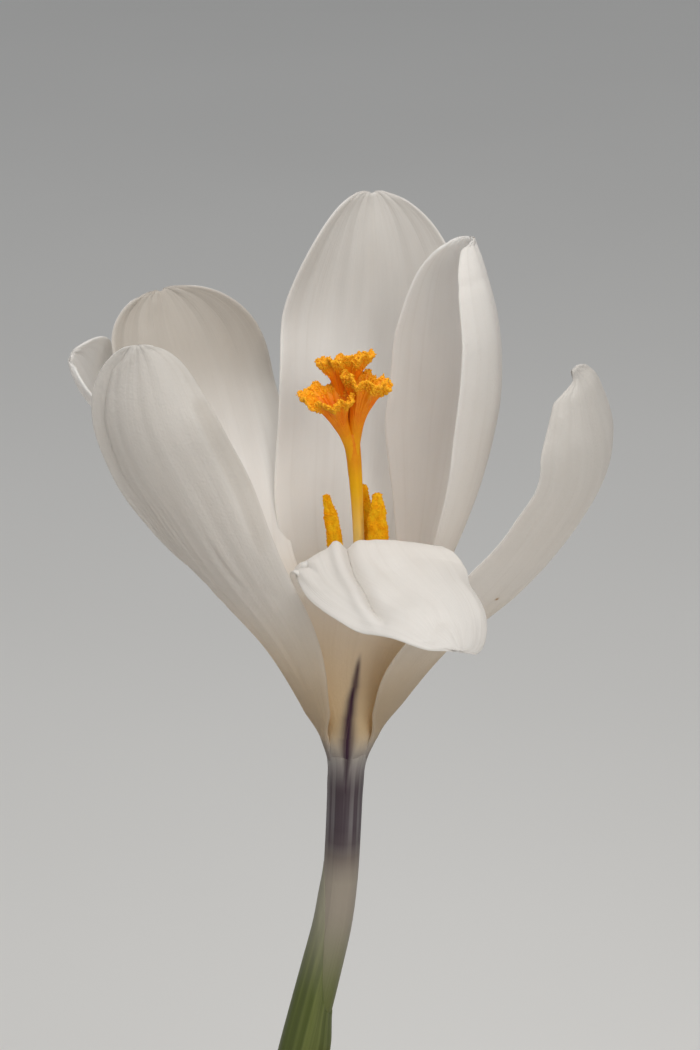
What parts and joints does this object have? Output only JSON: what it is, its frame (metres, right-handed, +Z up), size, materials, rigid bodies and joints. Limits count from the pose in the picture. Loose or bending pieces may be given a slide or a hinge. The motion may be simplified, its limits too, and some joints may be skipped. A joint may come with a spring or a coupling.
{
  "type": "potted crocus",
  "caption": "Potted crocus: one open white bloom with a frilled orange stigma on a slender tube, with short leaves, in a plain terracotta pot.",
  "frame": {"origin": "centre of the pot's foot circle, in the plane the pot stands on", "axes": "+Z up, -Y toward the viewer of the picture, +X to the picture's right"},
  "size_m": [0.084, 0.084, 0.1748],
  "materials": {
    "terracotta": "unglazed matte terracotta",
    "soil": "matte crumbly potting soil",
    "corm_skin": "matte fibrous papery skin",
    "tube": "satin, thin translucent plant tissue with a purple band",
    "bract_green": "satin plant tissue",
    "papery_sheath": "matte papery plant tissue",
    "tepal_white": "satin, thin translucent petal tissue",
    "leaf_green": "satin plant tissue with a pale midrib",
    "anther_yellow": "matte, dusted with pollen",
    "stigma_orange": "matte with yellow frilled rims"
  },
  "bodies": {
    "root": {"pot": "terracotta", "soil": "soil", "corm": "corm_skin", "perianth_tube": "tube", "bract": "bract_green", "sheath": "papery_sheath", "tepal_back": "tepal_white", "tepal_right_back": "tepal_white", "tepal_right_front": "tepal_white", "tepal_front": "tepal_white", "tepal_left_front": "tepal_white", "tepal_left": "tepal_white", "tepal_left_back": "tepal_white", "leaf_right": "leaf_green", "leaf_back": "leaf_green", "leaf_left": "leaf_green", "leaf_front": "leaf_green", "stamen_left": "anther_yellow", "stamen_right": "anther_yellow", "stamen_back": "anther_yellow", "style_stigma": "stigma_orange"}
  },
  "joints": []
}
